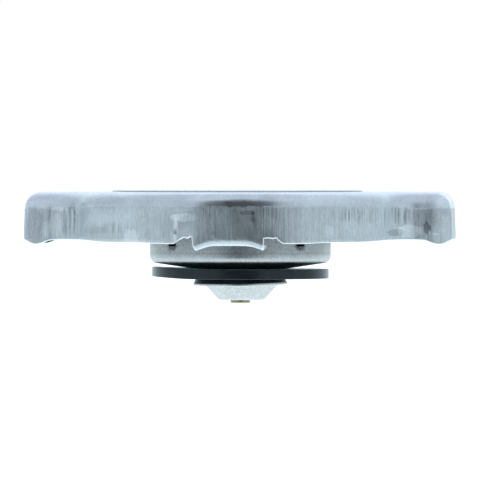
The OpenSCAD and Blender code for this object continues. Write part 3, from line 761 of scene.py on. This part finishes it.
# Adds up wear, stain and draw marks as well as painted shade and painted highlights
def ragged_patch_sum(tree, place, marks):
    """The marks of a list added up, each times its own strength."""
    parts = []
    for label, centre, reach, strength, soft in marks:
        mask = effect(tree, "ragged_patch", label, Place=place, Centre=centre, Reach=reach, Soft=soft)["Mask"]
        parts.append(calc(tree, "MULTIPLY", mask, strength))
    return add_up(tree, parts)


def plated_steel(colours):
    """Bright plated sheet: a smooth shoulder, and a skirt with upright draw marks, rubbed patches and
    stains, and painted shade and highlights on its bends, hollows, edges and ears.
    """
    material, tree, shader, place, grain = new_finish("plated_steel", 5.0)
    broad = effect(tree, "draw_marks", "broad lines", Place=place, Across=2.4, Along=0.05)["Marks"]
    fine = effect(tree, "draw_marks", "fine lines", Place=place, Across=7.0, Along=0.12)["Marks"]

    # The wall is below a ragged line, which lies lower on the ears
    torn = noise_value(tree, scaled(tree, place, (1, 1, 0.2)), 0.9, 5.0, 0.7)
    ear = between(tree, calc(tree, "ABSOLUTE", axes(tree, place)["X"]), 22.0, 27.0, 0.0, 0.35)
    line = add_up(tree, (axes(tree, place)["Z"], ear, swing(tree, torn, 0.5, 1.2)))
    wall = between(tree, line, 0.85, 1.05, 1.0, 0.0)
    depth = calc(tree, "ADD", ragged_patch_sum(tree, place, DEEP_DRAW_MARKS), 0.12)
    lines = swing(tree, broad, 0.75, calc(tree, "MULTIPLY", depth, wall))
    threads = swing(tree, fine, 0.6, calc(tree, "MULTIPLY", wall, 0.2))
    clouds = swing(tree, grain["Clouds"], 0.5, 0.12)
    speckle = swing(tree, grain["Speckle"], 0.5, 0.12)
    # Rubbed patches and stains of the metal, together with painted shade and painted highlights
    rubs_and_painted_light = ragged_patch_sum(tree, place, SHELL_MARKS)
    tone = add_up(tree, (lines, threads, clouds, speckle, rubs_and_painted_light, 1.0))
    stain = ragged_patch_sum(tree, place, STEP_STAIN)
    metal = blend_colour(tree, stain, toned(tree, colours.plated, tone), colours.stain)
    smooth = between(tree, wall, 0.0, 1.0, 0.22, 0.32)
    rough = calc(tree, "ADD", smooth, calc(tree, "MULTIPLY", grain["Clouds"], 0.06))
    relief = calc(tree, "MULTIPLY", wall, calc(tree, "ADD", broad, calc(tree, "MULTIPLY", fine, 0.4)))
    set_inputs(tree, shader, {"Base Color": metal, "Metallic": 1.0, "Roughness": rough,
                              "Normal": bumped(tree, relief, 0.4, 0.03)})
    return material


def sheared_steel(colours):
    """Bare steel of the cut edges, made far brighter than bare steel as a painted highlight along them.
    """
    material, tree, shader, _, grain = new_finish("sheared_steel", 6.0)
    tone = between(tree, grain["Speckle"], 0.0, 1.0, 0.85, 1.0)
    rough = between(tree, grain["Clouds"], 0.0, 1.0, 0.18, 0.3)
    metal = toned(tree, colours.sheared, tone)
    set_inputs(tree, shader, {"Base Color": metal, "Metallic": 1.0, "Roughness": rough})
    return material


def turned_metal(name, base, rough, grain_size, ring_depth, marks=()):
    """Metal with speckle, with fine rings round the axis and with any painted shade and reflection marks
    on all four sides.
    """
    material, tree, shader, place, grain = new_finish(name, grain_size)
    rings = noise_value(tree, scaled(tree, place, (0.12, 0.12, 3.5)), 1.0, 4.0, 0.7)
    speckle = swing(tree, grain["Speckle"], 0.6, 0.42)
    clouds = swing(tree, grain["Clouds"], 0.6, 0.14)
    tone = add_up(tree, (swing(tree, rings, 0.5, ring_depth), speckle, clouds, 1.0))
    if marks:
        apart = axes(tree, vector_calc(tree, "ABSOLUTE", place)[0])
        upright = axes(tree, place)["Z"]
        folded = add_node(tree, "ShaderNodeCombineXYZ", X=apart["X"], Y=apart["Y"], Z=upright).outputs[0]
        tone = calc(tree, "ADD", tone, ragged_patch_sum(tree, folded, marks))
    worn = between(tree, grain["Clouds"], 0.0, 1.0, rough, rough + 0.08)
    set_inputs(tree, shader, {"Base Color": toned(tree, base, tone), "Metallic": 1.0, "Roughness": worn,
                              "Normal": bumped(tree, grain["Speckle"], 0.25, 0.02)})
    return material


def moulded_rubber(colours):
    """Black moulded rubber with a faint bloom."""
    material, tree, shader, _, grain = new_finish("moulded_rubber", 6.0)
    bloom = between(tree, grain["Clouds"], 0.2, 1.0)
    tone = blend_colour(tree, bloom, colours.rubber, [c * 1.9 for c in colours.rubber])
    rough = between(tree, grain["Speckle"], 0.0, 1.0, 0.17, 0.26)
    set_inputs(tree, shader, {
        "Base Color": tone, "Roughness": rough, "Specular Tint": (0.86, 1.0, 1.02, 1.0),
        "Sheen Weight": 0.5, "Sheen Roughness": 0.3, "Sheen Tint": (0.6, 0.95, 1.0, 1.0),
        "Normal": bumped(tree, grain["Speckle"], 0.2, 0.02)})
    return material


def satin_film(colours):
    """Pale satin film, with a painted shadow line along the bottom of its edge, where it meets the crown.
    """
    material, tree, shader, place, grain = new_finish("satin_film", 4.0)
    low = LABEL_LOW.z / MM
    film = between(tree, axes(tree, place)["Z"], low + 0.06, low + 0.11)
    paper = blend_colour(tree, grain["Speckle"], [c * 0.95 for c in colours.film], colours.film)
    # The lowest part of the film's edge gets the painted shadow colour
    film_and_shadow_line = blend_colour(tree, film, colours.painted_edge_shadow, paper)
    rough = between(tree, grain["Clouds"], 0.0, 1.0, 0.2, 0.3)
    set_inputs(tree, shader, {"Base Color": film_and_shadow_line, "Roughness": rough})
    return material


class CAP_OT_shell(bpy.types.Operator):
    """Draw the shell with its ears, flats and folded lugs"""
    bl_idname = "cap.shell"
    bl_label = "Drawn shell"

    def execute(self, context):
        sizes = context.scene.cap_shell
        rows = shell_rows(sizes)
        bm = bmesh.new()
        ring = bmesh.ops.create_circle(bm, segments=len(rows[0]), radius=sizes.hole_radius)
        verts = ring["verts"]
        for vert, place in zip(verts, rows[0]):
            vert.co = place
        edge_verts = extrude_rows(bm, verts, rows[1:])
        for side in (-1, 1):
            fold_lug(bm, sizes, edge_verts, side)
        bm.normal_update()
        crown = max(bm.faces, key=lambda f: f.calc_area())
        if crown.normal.z < 0:
            bmesh.ops.reverse_faces(bm, faces=bm.faces)
        material = plated_steel(context.scene.cap_colours)
        shell = new_piece("drawn_shell", bm, "shell", material)
        shell.data.materials.append(sheared_steel(context.scene.cap_colours))
        wall = shell.modifiers.new("Sheet", "SOLIDIFY")
        wall.thickness = sizes.sheet
        wall.offset = -1.0
        wall.use_quality_normals = True
        wall.material_offset_rim = 1
        round_cut_edges(context, shell, sizes.edge_round)
        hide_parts("cap_shell")
        return {"FINISHED"}


class CAP_OT_gasket(bpy.types.Operator):
    """Mould the pressure gasket, with its lip and its curled side"""
    bl_idname = "cap.gasket"
    bl_label = "Pressure gasket"

    def execute(self, context):
        sizes = context.scene.cap_gasket
        top = GASKET_HIGH.z
        under = top - sizes.thickness
        low = GASKET_LOW.z
        profile = (
            (sizes.bore, under), (sizes.bore, top), (sizes.radius, top), (sizes.radius, under),
            (sizes.lip_edge + sizes.groove, under), (sizes.lip_edge + sizes.groove, under + sizes.groove),
            (sizes.lip_root, under + sizes.groove), (sizes.lip_edge, low),
            (sizes.lip_edge - sizes.lip_wall, low), (sizes.lip_root - sizes.lip_wall, under))
        bm = bmesh.new()
        turn_profile(bm, profile, GASKET_TURN)
        edges = [e for e in bm.edges if e.calc_face_angle(0.0) > MOULDED]
        bmesh.ops.bevel(bm, geom=edges, offset=sizes.edge_round, offset_type="OFFSET", affect="EDGES",
                        segments=ROUND_STEPS, profile=0.5, material=-1, clamp_overlap=True)
        span = 1.4
        for vert in bm.verts:
            share = max(0.0, -vert.co.x - sizes.warp_from) / (sizes.radius - sizes.warp_from)
            vert.co.z += sizes.warp_rise * smooth_step(0, span, share) / smooth_step(0, span, 1)
        material = moulded_rubber(context.scene.cap_colours)
        gasket = new_piece("moulded_gasket", bm, "pressure_valve", material)
        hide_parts("pressure_gasket")
        return {"FINISHED"}


class CAP_OT_dish(bpy.types.Operator):
    """Press the vacuum dish, which is a little out of true on one side"""
    bl_idname = "cap.dish"
    bl_label = "Vacuum dish"

    def execute(self, context):
        sizes = context.scene.cap_dish
        under, top = DISH_LOW.z, DISH_HIGH.z
        rim = DISH_HIGH.x
        rim_root = rim - sizes.rim_width
        slope = math.atan2(top - under - sizes.sheet, rim_root - sizes.floor_radius)
        lean = math.tan(slope / 2)
        floor = Vector((sizes.floor_radius - sizes.corner * lean, under + sizes.corner))
        root = Vector((rim_root + sizes.root * lean, top - sizes.sheet - sizes.root))
        edge = Vector((rim - sizes.edge_round, top - sizes.sheet + sizes.edge_round))
        rise = Vector((0, sizes.sheet - 2 * sizes.edge_round))
        profile = [Vector((sizes.hole, under))]
        foot_end = slope - RIGHT_ANGLE
        profile += arc(floor, sizes.corner, -RIGHT_ANGLE, foot_end, BEND_STEPS)
        profile += arc(root, sizes.root, slope + RIGHT_ANGLE, RIGHT_ANGLE, ROOT_STEPS)
        profile += arc(edge, sizes.edge_round, -RIGHT_ANGLE, 0, ROUND_STEPS)
        profile += arc(edge + rise, sizes.edge_round, 0, RIGHT_ANGLE, ROUND_STEPS)
        profile.append(Vector((rim_root - sizes.sheet * lean, top)))
        profile += arc(floor, sizes.corner - sizes.sheet, foot_end, -RIGHT_ANGLE, BEND_STEPS)
        profile.append(Vector((sizes.hole, under + sizes.sheet)))
        bm = bmesh.new()
        turn_profile(bm, profile, DISH_TURN)
        for vert in bm.verts:
            flat = vert.co.xy
            side = smooth_step(0.0, 1.0, flat.x / flat.length)
            cone = smooth_step(0.4, 0.9, flat.length / sizes.floor_radius)
            outer = smooth_step(rim_root, rim, flat.length)
            flat *= 1 + sizes.bulge * side * cone * (1 - outer) / flat.length
            vert.co = (flat.x, flat.y, vert.co.z + sizes.rim_bend * side * outer)
        material = turned_metal("bright_dish", context.scene.cap_colours.dish, 0.3, 5.0, 0.06)
        dish = new_piece("pressed_dish", bm, "vacuum_valve", material)
        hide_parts("vacuum_dish")
        return {"FINISHED"}


class CAP_OT_valves(bpy.types.Operator):
    """Give the label and the pieces of the valves their finishes"""
    bl_idname = "cap.valves"
    bl_label = "Valve finishes"

    def execute(self, context):
        colours = context.scene.cap_colours
        drawn = turned_metal("drawn_steel", colours.drawn, 0.38, 5.0, 0.16)
        # The cup gets painted shade under its windows and a painted reflection on its bottom band
        cup = turned_metal("drawn_cup", colours.drawn, 0.38, 5.0, 0.16, CUP_PAINTED_LIGHT)
        spring = turned_metal("spring_steel", colours.spring, 0.28, 6.0, 0.06)
        finishes = {
            "label_disc": satin_film(colours),
            "center_rivet": turned_metal("rivet_steel", colours.drawn, 0.32, 6.0, 0.06),
            "spring_disc": spring,
            "neck_gasket": bpy.data.materials["moulded_rubber"],
            "spring_holder": drawn,
            "valve_cup": cup,
            "vacuum_stem": turned_metal("turned_brass", colours.brass, 0.3, 6.0, 0.2),
        }
        for name, material in finishes.items():
            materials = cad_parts[name].data.materials
            materials.clear()
            materials.append(material)
        return {"FINISHED"}


class CAP_OT_springs(bpy.types.Operator):
    """Copy the two coil springs from their CAD parts, welded and smooth, onto the bodies that carry them
    """
    bl_idname = "cap.springs"
    bl_label = "Coil springs"

    def execute(self, context):
        material = turned_metal("coil_steel", context.scene.cap_colours.spring, 0.28, 6.0, 0.06)
        springs = (("pressure_coil", "pressure_spring", "inner", "pressure_lift", 1),
                   ("vacuum_coil", "vacuum_spring", "pressure_valve", "vacuum_drop", 0))
        for name, node, body, joint, held in springs:
            bm = bmesh.new()
            bm.from_mesh(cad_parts[node].data)
            bmesh.ops.remove_doubles(bm, verts=bm.verts, dist=0.001 * MM)
            coil = new_piece(name, bm, body, material)
            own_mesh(coil)
            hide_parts(node)
        return {"FINISHED"}


def studio_world(stage):
    """Soft studio light: white behind, and dimmer where the camera stands."""
    world = bpy.data.worlds.new("Studio")
    world.use_nodes = True
    tree = world.node_tree
    tree.nodes.clear()
    toward = add_node(tree, "ShaderNodeTexCoord").outputs["Generated"]
    turn = stage.azimuth
    front = dot(tree, toward, (math.sin(turn), -math.cos(turn), 0.0))
    side = dot(tree, toward, (math.cos(turn), math.sin(turn), 0.0))
    around = calc(tree, "ABSOLUTE", calc(tree, "ARCTAN2", side, front))
    height = calc(tree, "ARCSINE", dot(tree, toward, (0.0, 0.0, 1.0)))
    opening = calc(tree, "MULTIPLY", between(tree, around, 8 * DEGREE, 36 * DEGREE, 1.0, 0.0),
                   between(tree, calc(tree, "ABSOLUTE", height), 18 * DEGREE, 48 * DEGREE, 1.0, 0.0))
    behind = calc(tree, "MULTIPLY", between(tree, around, 100 * DEGREE, 170 * DEGREE, 0.0, 0.5),
                  between(tree, height, 35 * DEGREE, 85 * DEGREE, 1.0, 0.0))
    walls = calc(tree, "ADD", behind, 0.76)
    ceiling = between(tree, height, 20 * DEGREE, 60 * DEGREE, 0.0, 0.06)
    table = between(tree, height, -60 * DEGREE, -15 * DEGREE, 0.36, 0.0)
    level = calc(tree, "MULTIPLY", add_up(tree, (walls, ceiling, table)),
                 calc(tree, "SUBTRACT", 1.0, calc(tree, "MULTIPLY", opening, 0.88)))
    above = between(tree, height, -5 * DEGREE, 40 * DEGREE)
    tint = blend_colour(tree, above, stage.daylight, stage.skylight)
    glow = add_node(tree, "ShaderNodeBackground", Color=tint, Strength=level).outputs[0]
    white = add_node(tree, "ShaderNodeBackground", Color=(1, 1, 1, 1), Strength=1.0).outputs[0]
    seen = add_node(tree, "ShaderNodeLightPath").outputs["Is Camera Ray"]
    mix = add_in_order(tree, "ShaderNodeMixShader", {}, (seen, glow, white))[0]
    add_node(tree, "ShaderNodeOutputWorld", Surface=mix)
    return world


class CAP_OT_stage(bpy.types.Operator):
    """Set the camera, the pale floor and the studio light"""
    bl_idname = "cap.stage"
    bl_label = "Studio"

    def execute(self, context):
        scene = context.scene
        stage = scene.cap_stage
        scene.world = studio_world(stage)
        scene.view_settings.view_transform = "Standard"
        scene.view_settings.look = "None"

        bm = bmesh.new()
        bmesh.ops.create_grid(bm, x_segments=1, y_segments=1, size=6.0)
        bmesh.ops.translate(bm, verts=bm.verts, vec=(0, 0, CAD_BOX[0].z - stage.floor_drop))
        mesh = bpy.data.meshes.new("floor")
        bm.to_mesh(mesh)
        bm.free()
        floor = bpy.data.objects.new("floor", mesh)
        scene.collection.objects.link(floor)
        pale, tree, shader = new_material("pale_floor")
        set_inputs(tree, shader, {"Base Color": (0.9, 0.9, 0.9, 1.0), "Roughness": 0.9,
                                  "Emission Color": (1.0, 1.0, 1.0, 1.0), "Emission Strength": 0.6})
        floor.data.materials.append(pale)
        floor.visible_glossy = False

        lens = bpy.data.cameras.new("camera")
        lens.sensor_width = 36.0
        lens.lens = lens.sensor_width * stage.distance / stage.view_width
        lens.clip_end = 20.0
        camera = bpy.data.objects.new("camera", lens)
        turn, rise = stage.azimuth, stage.elevation
        back = Vector((math.sin(turn) * math.cos(rise), -math.cos(turn) * math.cos(rise), math.sin(rise)))
        aim = Vector((math.cos(turn), math.sin(turn), 0.0)) * stage.aim_x + Vector((0, 0, stage.aim_z))
        camera.location = aim + back * stage.distance
        camera.rotation_euler = back.to_track_quat("Z", "Y").to_euler()
        scene.collection.objects.link(camera)
        scene.camera = camera
        return {"FINISHED"}


class CAP_PT_sidebar(bpy.types.Panel):
    """Steps of the radiator cap"""
    bl_idname = "CAP_PT_sidebar"
    bl_label = "Radiator cap"
    bl_space_type = "VIEW_3D"
    bl_region_type = "UI"
    bl_category = "Radiator cap"

    def draw(self, context):
        for step in STEPS:
            self.layout.operator(step.bl_idname)


STEPS = (CAP_OT_stage, CAP_OT_shell, CAP_OT_gasket, CAP_OT_dish, CAP_OT_valves, CAP_OT_springs)
GROUPS = {"cap_shell": ShellSizes, "cap_gasket": GasketSizes, "cap_dish": DishSizes,
          "cap_colours": FinishColours, "cap_stage": StageSettings}


def register():
    for group in GROUPS.values():
        bpy.utils.register_class(group)
    for name, group in GROUPS.items():
        setattr(bpy.types.Scene, name, bpy.props.PointerProperty(type=group))
    for step in STEPS:
        bpy.utils.register_class(step)
    bpy.utils.register_class(CAP_PT_sidebar)


def unregister():
    bpy.utils.unregister_class(CAP_PT_sidebar)
    for step in reversed(STEPS):
        bpy.utils.unregister_class(step)
    for name in GROUPS:
        delattr(bpy.types.Scene, name)
    for group in reversed(GROUPS.values()):
        bpy.utils.unregister_class(group)


def main():
    register()
    bpy.ops.cap.stage()
    bpy.ops.cap.shell()
    bpy.ops.cap.gasket()
    bpy.ops.cap.dish()
    bpy.ops.cap.valves()
    bpy.ops.cap.springs()


if __name__ == "__main__":
    main()
